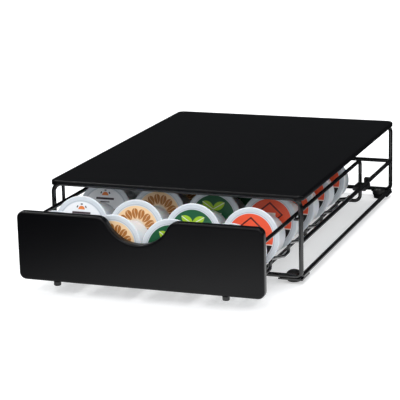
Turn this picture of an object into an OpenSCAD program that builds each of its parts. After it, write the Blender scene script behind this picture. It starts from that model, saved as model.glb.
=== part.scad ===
// Drawer for coffee pods: a wire frame with a steel top plate, and a wire drawer that slides
// out of its front. X is across, Y runs from front to back and Z is up. The origin is on the
// surface that the feet stand on, under the middle of the whole object with the drawer pulled
// out to its rest position.

/* [Frame] */
// Distance between the left and right posts, centre to centre
post_spacing = 228; // [224:0.5:260]
// Distance between the front loop and the rear loop, centre to centre
frame_depth = 316; // [310:1:360]
// Height of the top plate's upper face
frame_h = 78; // [77:0.5:90]
// Diameter of the frame's wires
frame_wire_d = 4; // [3:0.1:5]
// Bend radius at the top corners of the loops, on the wire's centre line
loop_top_bend = 8; // [5:0.5:12]
// Bend radius at the bottom corners of the loops, on the wire's centre line
loop_bottom_bend = 5; // [4:0.5:8]
// Height of the slide rails above the floor, to their centre line
slide_rail_h = 37; // [30:0.5:44]

/* [Top plate] */
// Thickness of the plate's sheet
plate_t = 1.2; // [0.8:0.1:2]
// How far the plate reaches past the posts' centre line at each side
plate_side_reach = 2.6; // [2.2:0.1:6]
// How far the plate reaches past each loop's centre line at the front and rear
plate_end_reach = 3.4; // [2.2:0.1:6]
// Depth of the turned-down edges at the sides
plate_side_lip = 4.6; // [2:0.1:8]
// Depth of the turned-down edges at the front and rear
plate_end_lip = 2.4; // [1.5:0.1:4]
// Corner radius of the plate, seen from above
plate_corner_r = 7; // [4:0.5:12]

/* [Corner feet] */
// Height of the rubber foot below its gusset
foot_h = 3.5; // [2:0.1:8]
// Diameter of the foot's disc
foot_d = 11.5; // [9:0.5:16]
// Diameter of the foot's dome above the gusset
dome_d = 14; // [10:0.5:16]
// Height of the foot's dome above the gusset
dome_h = 5.1; // [3:0.1:6]
// Diameter of the foot's neck in its hole
neck_d = 6; // [4:0.5:8]
// Thickness of the gusset's sheet
gusset_t = 1.5; // [1:0.1:2.5]
// Length of the gusset's two straight edges
gusset_leg = 22; // [20:0.5:30]

/* [Front panel] */
// Gap between the panel's sides and the front posts
panel_side_gap = 3.25; // [1:0.25:6]
// Height of the front panel
panel_h = 59.2; // [57:0.1:61]
// Height of the panel's lower edge above the floor
panel_floor_gap = 11.8; // [11:0.1:13]
// Thickness of the panel's sheet
panel_t = 0.9; // [0.7:0.1:1.5]
// Depth of the panel's turned-back edges, over all
panel_return = 6.8; // [6.8:0.1:9]
// Corner radius of the panel
panel_corner_r = 6; // [3:0.5:10]
// Width of the finger scoop at the panel's upper edge
scoop_w = 72; // [60:1:90]
// Depth of the finger scoop
scoop_depth = 21.5; // [15:0.5:26]
// Radius of the scoop's hollow
scoop_r = 30; // [22:0.5:34]
// Distance of each stop bumper from the panel's side
bumper_inset = 33.75; // [20:0.25:50]
// Diameter of the stop bumper's head
bumper_d = 6.2; // [4:0.1:6.6]
// Height of the stop bumper's head
bumper_h = 3.9; // [3.4:0.1:5]
// Diameter of the stop bumper's stem in its hole
bumper_stem_d = 3; // [2:0.1:4]

/* [Drawer wires] */
// Distance from the panel's front face to the rear hoop's centre line
drawer_depth = 310; // [308:0.5:316]
// Diameter of the drawer's rails and rear hoop
drawer_wire_d = 3.5; // [3:0.1:4]
// Height of the top rails above the floor, to their centre line
top_rail_h = 57.6; // [56:0.1:60]
// Bend radius where a top rail turns down into the rear hoop
rail_bend = 5; // [4:0.5:9]
// Bend radius at the bottom corners of the rear hoop
hoop_bend = 6; // [4:0.5:10]
// How far the drawer is pulled out at rest
open_at_rest = 76; // [0:1:150]

/* [Pod floor] */
// Gap between the rims of two neighbouring columns
column_gap = 0.5; // [0.2:0.1:0.8]
// Distance between two rows
row_pitch = 51.5; // [51:0.1:51.9]
// Distance from the panel's front face to the riser behind the first row's rims
first_riser = 8.3; // [8:0.1:9.5]
// Diameter of the wave wires
wave_d = 3; // [2.5:0.1:3.4]
// Distance of the two wave wires of a column from the column's middle
wave_spread = 17.5; // [15:0.1:18]
// Length of the flat trough in front of each riser
trough_len = 14; // [10:0.5:18]
// Bend radius of the wave wires, on the centre line
wave_bend = 2.5; // [2:0.1:2.8]
// Diameter of the crosswires and side wires under the waves
crosswire_d = 3; // [2.5:0.1:3.4]
// Height of the crosswires and side wires above the floor, to their centre lines
crosswire_h = 17; // [16.6:0.1:19]
// Distance from a crosswire to the riser behind it
crosswire_setback = 13.5; // [11:0.5:15]
// How far each side wire of the floor lies inside the outermost wave wire
side_wire_inset = 7.45; // [4:0.05:12]

/* [Pods] */
// Diameter of the pod's rim
rim_d = 51; // [50:0.1:51]
// Thickness of the pod's rim
rim_t = 1.2; // [0.8:0.1:1.6]
// Diameter of the cup just behind its rim
cup_d = 45.6; // [44:0.1:46]
// Diameter of the cup's base
base_d = 37; // [35:0.5:39]
// Length of the pod from its rim's face to its base
pod_len = 43; // [41:0.5:44]
// Thickness of the cup's wall
cup_wall = 1; // [0.6:0.1:1.5]
// Width of the bare rim round the foil lid
lid_inset = 0.7; // [0.4:0.1:1.5]
// Thickness of the foil lid
lid_t = 0.3; // [0.2:0.05:0.5]
// How far the lids lean back
pod_tilt = 11.3; // [9:0.1:13]
// Rows of pods in each column, from the front
filled_rows = [6, 6, 6, 6];

/* [Slides] */
// Diameter of the hangers' wire
hanger_d = 3; // [2.5:0.1:4]
// Bend radius of a hanger, on the centre line
hanger_bend = 2.5; // [2:0.1:4]
// Distance from the front loop's centre line to the hangers' centre lines
hanger_setback = 11; // [8:0.5:30]
// Length of a rear glide along the slide rail
glide_len = 20; // [12:0.5:26]
// Height of a rear glide's shoe, under the slide rail
glide_h = 3.5; // [2.5:0.1:6]
// Wall of a rear glide around its wires
glide_wall = 1.2; // [0.8:0.1:2]

/* [Clearances] */
// Gap left at a weld, between two wires or a wire and a sheet
weld_gap = 0.05; // [0.02:0.01:0.1]
// Gap around a wire that slides, and between the drawer and its stop
run_gap = 0.3; // [0.2:0.05:0.5]
// Gap between a pod and the wires that it sits on
seat_gap = 0.2; // [0.1:0.05:0.5]
// Gap between a glide or a rubber stem and what it is pushed on or through
push_gap = 0.03; // [0.02:0.01:0.1]

/* [Hidden] */
LEFT = -1;
RIGHT = 1;
steel = "#1b1b1e";
rubber = "#0c0c0d";
nylon = "#161618";
cup_white = "#e6e9ec";
lid_colours = ["#f2f3f4", "#e9cfae", "#14532f", "#ee4a23"];
column_names = "abcdefgh";
// A little more than a cut needs, so that it passes right through
pass = 1;
wire_sides = 24;
round_sides = 72;
// Steps in a quarter turn of the panel's outline
corner_steps = 8;
// A bend is a hair fatter than its straights and laps over their ends by this angle
bend_swell = 0.01;
bend_lap = 1.5;
// How far a glide's lips reach past the middle of the slide rail, as a share of the rail's radius
glide_lip = 0.7;

frame_r = frame_wire_d / 2;
drawer_r = drawer_wire_d / 2;
wave_r = wave_d / 2;
crosswire_r = crosswire_d / 2;
hanger_r = hanger_d / 2;
post_x = post_spacing / 2;

// Heights of the frame, built up from the floor and down from the plate
gusset_z = foot_h;
bottom_wire_z = foot_h + gusset_t + weld_gap + frame_r;
plate_under_z = frame_h - plate_t;
loop_top_z = plate_under_z - weld_gap - frame_r;
plate_w = post_spacing + 2 * plate_side_reach;
plate_l = frame_depth + 2 * plate_end_reach;

// The foot stands clear of both wires at its corner
foot_inset = frame_r + dome_d / 2 + run_gap;

// The stop bumper's head hangs under the panel's lower edge, behind its face
bumper_y = panel_return - bumper_d / 2;
closed_panel_y = -frame_r - run_gap - panel_return;
panel_y = closed_panel_y - open_at_rest;
panel_back_y = panel_y + panel_t;
hoop_y = panel_y + drawer_depth;
glide_y = hoop_y + drawer_r + push_gap + glide_wall - glide_len;

// The panel fits between the front posts, and the drawer's wires inside its turned-back sides
panel_w = post_spacing - frame_wire_d - 2 * panel_side_gap;
bumper_x = panel_w / 2 - bumper_inset;
drawer_x = panel_w / 2 - panel_t - 2 * weld_gap - drawer_r;
wave_z = crosswire_h + crosswire_r + 2 * weld_gap + wave_r;
hoop_z = wave_z - wave_r - 2 * weld_gap - drawer_r;

// As many columns and rows of pods as fit between the drawer's rails and in its depth
column_pitch = rim_d + column_gap;
columns = floor((2 * (drawer_x - drawer_r) + column_gap) / column_pitch);
row_space = drawer_depth - drawer_r - weld_gap - crosswire_r - first_riser + crosswire_setback;
rows = floor(row_space / row_pitch);
side_wire_x = column_x(columns - 1) + wave_spread - side_wire_inset;

// The hangers stand outside the drawer's top rails and turn in under them
hanger_x = drawer_x + drawer_r + 2 * run_gap + hanger_r;
hanger_z = top_rail_h - drawer_r - run_gap - hanger_r;

// A pod lies with its base on a crosswire and its cup on the crests of two waves
rim_r = rim_d / 2;
cup_r = cup_d / 2;
base_r = base_d / 2;
rim_z = crosswire_h + crosswire_r + seat_gap + pod_len * sin(pod_tilt) + base_r * cos(pod_tilt);
crest_from_riser = wave_bend;
cup_slope = (cup_r - base_r) / (pod_len - rim_t);
function cup_r_at(s) = cup_r - cup_slope * (s - rim_t);
function wave_drop(s) = sqrt(pow(cup_r_at(s) + wave_r + seat_gap, 2) - pow(wave_spread, 2));
crest_s = 2 * rim_t + crest_from_riser;
crest_z = rim_z - crest_s * sin(pod_tilt) - wave_drop(crest_s) * cos(pod_tilt);
rim_back = rim_t / cos(pod_tilt) - (rim_z - crest_z - wave_r) * tan(pod_tilt);
ramp_len = row_pitch - trough_len;
ramp_angle = atan((crest_z - wave_z) / ramp_len);
crest_corner_z = crest_z + wave_bend * (tan(ramp_angle) + 1 / cos(ramp_angle) - 1);

// The middle of the whole object, front to back, at rest
middle_y = (panel_y + frame_depth + plate_end_reach) / 2;

function riser_y(row) = panel_y + first_riser + row * row_pitch;
function rim_y(row) = riser_y(row) - wave_r - seat_gap - rim_back;
function column_x(column) = (column - (columns - 1) / 2) * column_pitch;

// Shared shapes

// Turns a flat outline's X and Y to the object's X and Z, and its thickness to Y
module facing() {
    mirror([0, 1, 0]) rotate([90, 0, 0]) children();
}

// Turns a flat path's X and Y to the object's Y and Z
module lengthways() {
    rotate([90, 0, 90]) children();
}

module rod_y(r, x, z, from_y, to_y) {
    translate([x, from_y, z]) rotate([-90, 0, 0]) cylinder(h = to_y - from_y, r = r, $fn = wire_sides);
}

// A rod across the object, from -reach to reach
module rod_x(r, y, z, reach) {
    translate([-reach, y, z]) rotate([0, 90, 0]) cylinder(h = 2 * reach, r = r, $fn = wire_sides);
}

function heading(a, b) = atan2(b[1] - a[1], b[0] - a[0]);
function turn(a, b, c) = let (t = heading(b, c) - heading(a, b)) t > 180 ? t - 360 : t < -180 ? t + 360 : t;
function trim_at(points, i, bend) =
    i == 0 || i == len(points) - 1 ? 0
    : bend[i] * tan(abs(turn(points[i - 1], points[i], points[i + 1])) / 2);

// A round wire along a flat path, with its own bend radius at each inner point
module bent_wire(points, bend, r) {
    for (i = [0 : len(points) - 2]) {
        way = heading(points[i], points[i + 1]);
        start = trim_at(points, i, bend);
        span = norm(points[i + 1] - points[i]) - start - trim_at(points, i + 1, bend);
        translate([points[i][0], points[i][1], 0]) rotate([0, 0, way]) translate([start, 0, 0])
            rotate([0, 90, 0]) cylinder(h = span, r = r, $fn = wire_sides);
    }
    for (i = [1 : len(points) - 2]) {
        way = heading(points[i - 1], points[i]);
        bow = turn(points[i - 1], points[i], points[i + 1]);
        side = bow > 0 ? 1 : -1;
        translate([points[i][0], points[i][1], 0]) rotate([0, 0, way])
            translate([-trim_at(points, i, bend), side * bend[i], 0])
            rotate([0, 0, (side > 0 ? -90 : 90 + bow) - bend_lap])
            rotate_extrude(angle = abs(bow) + 2 * bend_lap, $fn = round_sides)
            translate([bend[i], 0]) circle(r = r + bend_swell, $fn = wire_sides);
    }
}

// A rectangle with round corners, centred on the origin
module round_rect(w, h, r) {
    square([w - 2 * r, h], center = true);
    square([w, h - 2 * r], center = true);
    for (x = [-1, 1], y = [-1, 1]) translate([x * (w / 2 - r), y * (h / 2 - r)]) circle(r = r, $fn = round_sides);
}

// Frame

module top_plate() {
    color(steel) translate([0, frame_depth / 2, frame_h]) difference() {
        translate([0, 0, -plate_side_lip]) linear_extrude(plate_side_lip)
            round_rect(plate_w, plate_l, plate_corner_r);
        translate([0, 0, -plate_side_lip - pass]) linear_extrude(plate_side_lip + pass - plate_t)
            round_rect(plate_w - 2 * plate_t, plate_l - 2 * plate_t, plate_corner_r - plate_t);
        for (end = [-1, 1]) translate([0, end * plate_l / 2, -plate_end_lip - plate_side_lip / 2])
            cube([plate_w - 2 * plate_corner_r, 2 * plate_t + pass, plate_side_lip], center = true);
    }
}

// A closed loop of wire, standing across the frame
module loop(y) {
    points = [[0, bottom_wire_z], [post_x, bottom_wire_z], [post_x, loop_top_z], [-post_x, loop_top_z],
        [-post_x, bottom_wire_z], [0, bottom_wire_z]];
    bend = [0, loop_bottom_bend, loop_top_bend, loop_top_bend, loop_bottom_bend, 0];
    color(steel) translate([0, y, 0]) facing() bent_wire(points, bend, frame_r);
}

module side_rail(side, z) {
    color(steel) rod_y(frame_r, side * post_x, z, frame_r + weld_gap, frame_depth - frame_r - weld_gap);
}

module rear_crosswire() {
    color(steel) rod_x(frame_r, frame_depth, slide_rail_h, post_x - frame_r - weld_gap);
}

// Places its children at a corner of the frame, drawn for the front right corner with X
// outwards and Y forwards from the post
module at_corner(side, rear) {
    translate([side * post_x, rear ? frame_depth : 0, 0]) mirror([side > 0 ? 0 : 1, 0, 0])
        mirror([0, rear ? 0 : 1, 0]) children();
}

module gusset(side, rear) {
    edge = frame_r * 0.75;
    seat_r = dome_d / 2 - run_gap;
    color(steel) at_corner(side, rear) translate([0, 0, gusset_z]) difference() {
        union() {
            linear_extrude(gusset_t)
                polygon([[edge, edge], [edge - gusset_leg, edge], [edge, edge - gusset_leg]]);
            translate([-foot_inset, -foot_inset, 0]) cylinder(h = gusset_t, r = seat_r, $fn = round_sides);
        }
        translate([-foot_inset, -foot_inset, -pass])
            cylinder(h = gusset_t + 2 * pass, r = neck_d / 2 + push_gap, $fn = round_sides);
    }
}

module rubber_foot(side, rear) {
    dome_r = (pow(dome_d / 2, 2) + pow(dome_h, 2)) / (2 * dome_h);
    dome_z = gusset_z + gusset_t + weld_gap;
    color(rubber) at_corner(side, rear) translate([-foot_inset, -foot_inset, 0]) {
        cylinder(h = foot_h - weld_gap, r = foot_d / 2, $fn = round_sides);
        translate([0, 0, foot_h - 2 * weld_gap])
            cylinder(h = gusset_t + 4 * weld_gap, r = neck_d / 2, $fn = round_sides);
        intersection() {
            translate([0, 0, dome_z + dome_h - dome_r]) sphere(r = dome_r, $fn = round_sides);
            translate([0, 0, dome_z]) cylinder(h = dome_h + pass, r = dome_d / 2 + pass, $fn = round_sides);
        }
    }
}

// Slides

// A hook of wire that hangs from the plate outside a top rail of the drawer and carries it
module rail_hanger(side) {
    points = [[hanger_x, plate_under_z - weld_gap], [hanger_x, hanger_z], [drawer_x - drawer_r, hanger_z]];
    color(steel) mirror([side > 0 ? 0 : 1, 0, 0]) translate([0, hanger_setback, 0]) facing()
        bent_wire(points, [0, hanger_bend, 0], hanger_r);
}

// A shoe on an upright of the rear hoop, which runs under the slide rail. At the upright it has a
// hook over the rail, open outwards, whose lips reach a little past the rail's middle.
module rear_glide(side) {
    slot_r = frame_r + run_gap;
    inner_x = drawer_x - drawer_r - push_gap - glide_wall;
    outer_x = post_x + glide_lip * frame_r;
    hook_x = post_x - slot_r - glide_wall;
    hook_len = 2 * (drawer_r + push_gap + glide_wall);
    slot_z = slide_rail_h - slot_r;
    color(nylon) mirror([side > 0 ? 0 : 1, 0, 0]) translate([0, glide_y, slot_z]) difference() {
        union() {
            translate([inner_x, 0, -glide_h]) cube([outer_x - inner_x, glide_len, glide_h]);
            translate([hook_x, glide_len - hook_len, -glide_h])
                cube([outer_x - hook_x, hook_len, glide_h + 2 * slot_r + glide_wall]);
        }
        rod_y(slot_r, post_x, slot_r, -pass, glide_len + pass);
        translate([post_x, -pass, 0]) cube([frame_r + pass, glide_len + 2 * pass, 2 * slot_r]);
        translate([drawer_x, hoop_y - glide_y, -glide_h - pass])
            cylinder(h = glide_h + 2 * pass, r = drawer_r + push_gap, $fn = round_sides);
    }
}

// Front panel

function arc(centre, r, from, to, steps) =
    [for (i = [0 : steps]) centre + r * [cos(from + (to - from) * i / steps), sin(from + (to - from) * i / steps)]];

// The panel's outline, moved into the sheet by inset. The finger scoop is a round hollow that
// runs into the upper edge through two shoulders, which it meets on one tangent.
module panel_outline(inset) {
    w = panel_w / 2 - panel_corner_r;
    h = panel_h / 2 - panel_corner_r;
    corner_r = panel_corner_r - inset;
    half = scoop_w / 2;
    shoulder_r = (half * half + scoop_depth * scoop_depth) / (2 * scoop_depth) - scoop_r;
    shoulder_y = panel_h / 2 - shoulder_r;
    hollow_y = panel_h / 2 + scoop_r - scoop_depth;
    slant = atan2(hollow_y - shoulder_y, half);
    polygon(concat(
        arc([-w, -h], corner_r, 180, 270, corner_steps),
        arc([w, -h], corner_r, 270, 360, corner_steps),
        arc([w, h], corner_r, 0, 90, corner_steps),
        arc([half, shoulder_y], shoulder_r - inset, 90, 180 - slant, corner_steps),
        arc([0, hollow_y], scoop_r + inset, -slant, slant - 180, 3 * corner_steps),
        arc([-half, shoulder_y], shoulder_r - inset, slant, 90, corner_steps),
        arc([-w, h], corner_r, 90, 180, corner_steps)));
}

module front_panel() {
    color(steel) difference() {
        translate([0, panel_y, panel_floor_gap + panel_h / 2]) facing() difference() {
            linear_extrude(panel_return) panel_outline(0);
            translate([0, 0, panel_t]) linear_extrude(panel_return) panel_outline(panel_t);
        }
        for (side = [LEFT, RIGHT]) translate([side * bumper_x, panel_y + bumper_y, panel_floor_gap - pass])
            cylinder(h = panel_t + 2 * pass, r = bumper_stem_d / 2 + push_gap, $fn = wire_sides);
    }
}

module stop_bumper(side) {
    catch_h = panel_t;
    catch_r = bumper_stem_d / 2 + panel_t / 2;
    top_z = panel_floor_gap + panel_t + weld_gap;
    color(rubber) translate([side * bumper_x, panel_y + bumper_y, 0]) {
        translate([0, 0, panel_floor_gap - weld_gap - bumper_h])
            cylinder(h = bumper_h, r = bumper_d / 2, $fn = round_sides);
        translate([0, 0, panel_floor_gap - 2 * weld_gap])
            cylinder(h = panel_t + 4 * weld_gap, r = bumper_stem_d / 2, $fn = wire_sides);
        translate([0, 0, top_z]) cylinder(h = catch_h, r = catch_r, $fn = wire_sides);
    }
}

// Drawer wires

// Where a top rail, bent down at the rear, meets the rear hoop's upright, above the glide
joint_z = slide_rail_h + 2 * drawer_wire_d;

module drawer_top_rail(side) {
    points = [[panel_back_y + weld_gap, top_rail_h], [hoop_y, top_rail_h], [hoop_y, joint_z]];
    color(steel) translate([side * drawer_x, 0, 0]) lengthways() bent_wire(points, [0, rail_bend, 0], drawer_r);
}

module drawer_rear_hoop() {
    top = joint_z - weld_gap;
    points = [[-drawer_x, top], [-drawer_x, hoop_z], [drawer_x, hoop_z], [drawer_x, top]];
    color(steel) translate([0, hoop_y, 0]) facing() bent_wire(points, [0, hoop_bend, hoop_bend, 0], drawer_r);
}

// The floor's side wires end on the panel and on the rear hoop
module floor_side_wire(side) {
    color(steel) rod_y(crosswire_r, side * side_wire_x, crosswire_h, panel_back_y + weld_gap,
        hoop_y - drawer_r - weld_gap);
}

// The first crosswire lies against the panel, and each other one is under the front of a trough
function crosswire_y(i) =
    i == 0 ? panel_back_y + weld_gap + crosswire_r : riser_y(i) - crosswire_setback;

module floor_crosswire(i) {
    color(steel) rod_x(crosswire_r, crosswire_y(i), crosswire_h, side_wire_x - crosswire_r - weld_gap);
}

function wave_points() = concat(
    [[panel_back_y + weld_gap, wave_z]],
    [for (row = [0 : rows - 1], step = [0 : 2])
        step == 0 ? [riser_y(row), wave_z]
        : step == 1 ? [riser_y(row), crest_corner_z]
        : [riser_y(row) + ramp_len, wave_z]],
    [[hoop_y + drawer_r, wave_z]]);

module wave_wire(i) {
    column = floor(i / 2);
    x = column_x(column) + (i % 2 == 0 ? -1 : 1) * wave_spread;
    points = wave_points();
    bend = [for (p = points) wave_bend];
    color(steel) translate([x, 0, 0]) lengthways() bent_wire(points, bend, wave_r);
}

// Pods

// Places its children at a pod's rim, with Z from the rim's face to the base
module at_pod(column, row) {
    translate([column_x(column), rim_y(row), rim_z]) rotate([-90 - pod_tilt, 0, 0]) children();
}

module pod_cup() {
    inner_r = cup_r - cup_wall;
    rotate_extrude($fn = round_sides) polygon([[inner_r, 0], [rim_r, 0], [rim_r, rim_t], [cup_r, rim_t],
        [base_r, pod_len], [0, pod_len], [0, pod_len - cup_wall], [base_r - cup_wall, pod_len - cup_wall]]);
}

function filled(column) = min(filled_rows[column % len(filled_rows)], rows);

module pod_cups(column) {
    for (row = [0 : filled(column) - 1]) color(cup_white) at_pod(column, row) pod_cup();
}

module pod_lids(column) {
    colour = lid_colours[column % len(lid_colours)];
    for (row = [0 : filled(column) - 1]) color(colour) at_pod(column, row)
        translate([0, 0, -lid_t]) cylinder(h = lid_t, r = rim_r - lid_inset, $fn = round_sides);
}

// Moves a part so that the origin is under the middle of the whole object
module placed() {
    translate([0, -middle_y, 0]) children();
}

placed() top_plate();
placed() loop(0);  // front_loop
placed() loop(frame_depth);  // rear_loop
placed() side_rail(LEFT, bottom_wire_z);  // bottom_rail_left
placed() side_rail(RIGHT, bottom_wire_z);  // bottom_rail_right
placed() side_rail(LEFT, slide_rail_h);  // slide_rail_left
placed() side_rail(RIGHT, slide_rail_h);  // slide_rail_right
placed() rear_crosswire();
placed() gusset(LEFT, false);  // gusset_front_left
placed() gusset(RIGHT, false);  // gusset_front_right
placed() gusset(LEFT, true);  // gusset_rear_left
placed() gusset(RIGHT, true);  // gusset_rear_right
placed() rubber_foot(LEFT, false);  // rubber_foot_front_left
placed() rubber_foot(RIGHT, false);  // rubber_foot_front_right
placed() rubber_foot(LEFT, true);  // rubber_foot_rear_left
placed() rubber_foot(RIGHT, true);  // rubber_foot_rear_right
placed() rail_hanger(LEFT);  // rail_hanger_left
placed() rail_hanger(RIGHT);  // rail_hanger_right
placed() front_panel();
placed() stop_bumper(LEFT);  // stop_bumper_left
placed() stop_bumper(RIGHT);  // stop_bumper_right
placed() drawer_top_rail(LEFT);  // drawer_top_rail_left
placed() drawer_top_rail(RIGHT);  // drawer_top_rail_right
placed() drawer_rear_hoop();
placed() floor_side_wire(LEFT);  // floor_side_wire_left
placed() floor_side_wire(RIGHT);  // floor_side_wire_right
placed() rear_glide(LEFT);  // rear_glide_left
placed() rear_glide(RIGHT);  // rear_glide_right
for (i = [0 : rows]) placed() floor_crosswire(i);
for (i = [0 : 2 * columns - 1]) placed() wave_wire(i);
for (c = [0 : columns - 1]) placed() pod_cups(c);
for (c = [0 : columns - 1]) placed() pod_lids(c);
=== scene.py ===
"""Dresses the coffee pod drawer around its fixed frame.

Bent wires, pressed sheets, rubber mouldings and pods are surfaces worked out over two
parameters: u runs along a path or a profile, and v runs once round it. Gussets and glides are
copies of the frame's own nodes with eased edges. All places come from the boxes of those
nodes. Everything is in metres, with X across, Y from the front to the rear and Z up.
"""

from __future__ import annotations

import logging
import math
from dataclasses import dataclass
from enum import Enum
from typing import Any, Sequence, Union

import bmesh
import bpy
import numpy as np
from mathutils import Matrix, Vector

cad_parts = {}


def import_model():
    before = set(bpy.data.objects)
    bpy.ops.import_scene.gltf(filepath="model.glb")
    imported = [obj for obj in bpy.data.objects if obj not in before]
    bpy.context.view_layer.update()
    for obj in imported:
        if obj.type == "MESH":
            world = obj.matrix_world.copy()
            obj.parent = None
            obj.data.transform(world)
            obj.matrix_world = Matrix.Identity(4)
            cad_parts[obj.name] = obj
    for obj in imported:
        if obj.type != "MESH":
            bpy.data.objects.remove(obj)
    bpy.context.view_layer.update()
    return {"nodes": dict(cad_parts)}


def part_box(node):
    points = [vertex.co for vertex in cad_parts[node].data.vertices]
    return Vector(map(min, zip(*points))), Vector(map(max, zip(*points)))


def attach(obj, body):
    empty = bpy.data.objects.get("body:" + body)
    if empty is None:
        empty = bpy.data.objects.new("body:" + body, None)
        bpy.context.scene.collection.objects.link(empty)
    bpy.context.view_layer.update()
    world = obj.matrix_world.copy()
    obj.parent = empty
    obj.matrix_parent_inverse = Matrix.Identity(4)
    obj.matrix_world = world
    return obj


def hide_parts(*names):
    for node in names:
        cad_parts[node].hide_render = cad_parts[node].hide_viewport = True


LOG = logging.getLogger("pod_drawer")

MM = 0.001
QUARTER = math.pi / 2
WIRE_SIDES = 20
ROUND_SIDES = 64
BUMPER_SIDES = 40
BEND_STEPS = 8
# Edges sharper than this stay sharp when a piece is smoothed
CREASE = math.radians(38)
# In a copied node, points closer than MERGE are joined, and so are faces within FLAT of a plane
MERGE = 0.001 * MM
FLAT = math.radians(1)
# Gap between a moulding and the sheet that it is pushed through
PUSH_GAP = 0.05 * MM
# Width over which a printed edge fades
SOFT = 0.3 * MM
# Width of the picture in pixels, and of the camera's sensor in its own millimetres
PICTURE = 400
SENSOR = 36

X_AXIS = np.array([1.0, 0.0, 0.0])
Y_AXIS = np.array([0.0, 1.0, 0.0])
Z_AXIS = np.array([0.0, 0.0, 1.0])

Colour = tuple[float, float, float]
Number = Union[int, float]


class Side(Enum):
    """Left or right of the object, seen from its front."""

    LEFT = "left"
    RIGHT = "right"


class End(Enum):
    """Front or rear of the frame."""

    FRONT = "front"
    REAR = "rear"


class Motif(Enum):
    """The figure printed on a lid."""

    SUNRISE = "sunrise"
    BEANS = "beans"
    LEAVES = "leaves"
    KITE = "kite"


# Shapes


@dataclass
class Skin:
    """A surface over u (rows) and v (columns), whose columns always close on themselves.

    Attributes:
        points: Grid of points, rows by columns by 3.
        loop: Whether the last row joins the first; otherwise one face closes each end row.
        uv: Flat coordinates of each point, rows by columns by 2, if the finish needs them.
    """

    points: np.ndarray
    loop: bool = False
    uv: np.ndarray | None = None

    def faces(self, first: int) -> list[list[int]]:
        """Joins each point to its neighbours along u and v.

        Args:
            first: Index of the grid's first point in the mesh.

        Returns:
            The corners of each face.
        """
        rows, columns = self.points.shape[:2]
        index = np.arange(rows * columns).reshape(rows, columns) + first
        ahead = np.roll(index, -1, axis=0)
        if not self.loop:
            index, ahead = index[:-1], ahead[:-1]
        quads = np.stack([index, np.roll(index, -1, 1), np.roll(ahead, -1, 1), ahead], axis=-1)
        faces = quads.reshape(-1, 4).tolist()
        if not self.loop:
            faces.append(list(range(first, first + columns)))
            last = first + (rows - 1) * columns
            faces.append(list(range(last, last + columns)))
        return faces


def build_piece(name: str, skins: Sequence[Skin], finish: Finish) -> bpy.types.Object:
    """Puts skins into one mesh, turns its faces outwards and gives it its finish.

    Args:
        name: Name of the new piece.
        skins: Closed surfaces that make up the piece.
        finish: Finish of the whole piece.

    Returns:
        The new object, at the origin.
    """
    faces: list[list[int]] = []
    count = 0
    for skin in skins:
        faces += skin.faces(count)
        count += skin.points.shape[0] * skin.points.shape[1]
    points = np.concatenate([skin.points.reshape(-1, 3) for skin in skins])
    mesh = bpy.data.meshes.new(name)
    mesh.from_pydata(points.tolist(), [], faces)
    turn_outwards(mesh)
    if all(skin.uv is not None for skin in skins):
        flat = np.concatenate([skin.uv.reshape(-1, 2) for skin in skins])
        corner = np.zeros(len(mesh.loops), dtype=np.int32)
        mesh.loops.foreach_get("vertex_index", corner)
        layer = mesh.uv_layers.new(name="face")
        layer.data.foreach_set("uv", flat[corner].astype(np.float32).ravel())
    return dress(name, mesh, finish)


def turn_outwards(mesh: bpy.types.Mesh) -> None:
    """Makes the faces of a closed mesh point outwards.

    Args:
        mesh: The mesh, which is changed in place.
    """
    work = bmesh.new()
    work.from_mesh(mesh)
    bmesh.ops.recalc_face_normals(work, faces=work.faces)
    work.to_mesh(mesh)
    work.free()


def dress(name: str, mesh: bpy.types.Mesh, finish: Finish) -> bpy.types.Object:
    """Smooths a mesh up to its creases and makes it a finished object.

    Args:
        name: Name of the new piece.
        mesh: Its finished mesh.
        finish: Its finish.

    Returns:
        The new object.
    """
    mesh.polygons.foreach_set("use_smooth", np.ones(len(mesh.polygons), dtype=bool))
    mesh.set_sharp_from_angle(angle=CREASE)
    mesh.materials.append(finish.material())
    piece = bpy.data.objects.new(name, mesh)
    bpy.context.scene.collection.objects.link(piece)
    LOG.info("%s: %d faces, %s", name, len(mesh.polygons), finish.slot)
    return piece


def eased_copy(name: str, node: bpy.types.Object, ease: float, finish: Finish) -> bpy.types.Object:
    """Copies a node, joins its loose triangles and eases its edges.

    Args:
        name: Name of the new piece.
        node: The frame's own node.
        ease: Width of the bevel on each edge, in metres.
        finish: Finish of the new piece.

    Returns:
        The new object.
    """
    mesh = node.data.copy()
    mesh.materials.clear()
    work = bmesh.new()
    work.from_mesh(mesh)
    bmesh.ops.remove_doubles(work, verts=work.verts, dist=MERGE)
    bmesh.ops.dissolve_limit(work, angle_limit=FLAT, verts=work.verts, edges=work.edges)
    work.to_mesh(mesh)
    work.free()
    piece = dress(name, mesh, finish)
    bevel = piece.modifiers.new("eased_edges", "BEVEL")
    bevel.width = ease
    bevel.segments = 2
    bevel.limit_method = "ANGLE"
    bevel.angle_limit = CREASE
    return piece


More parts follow.
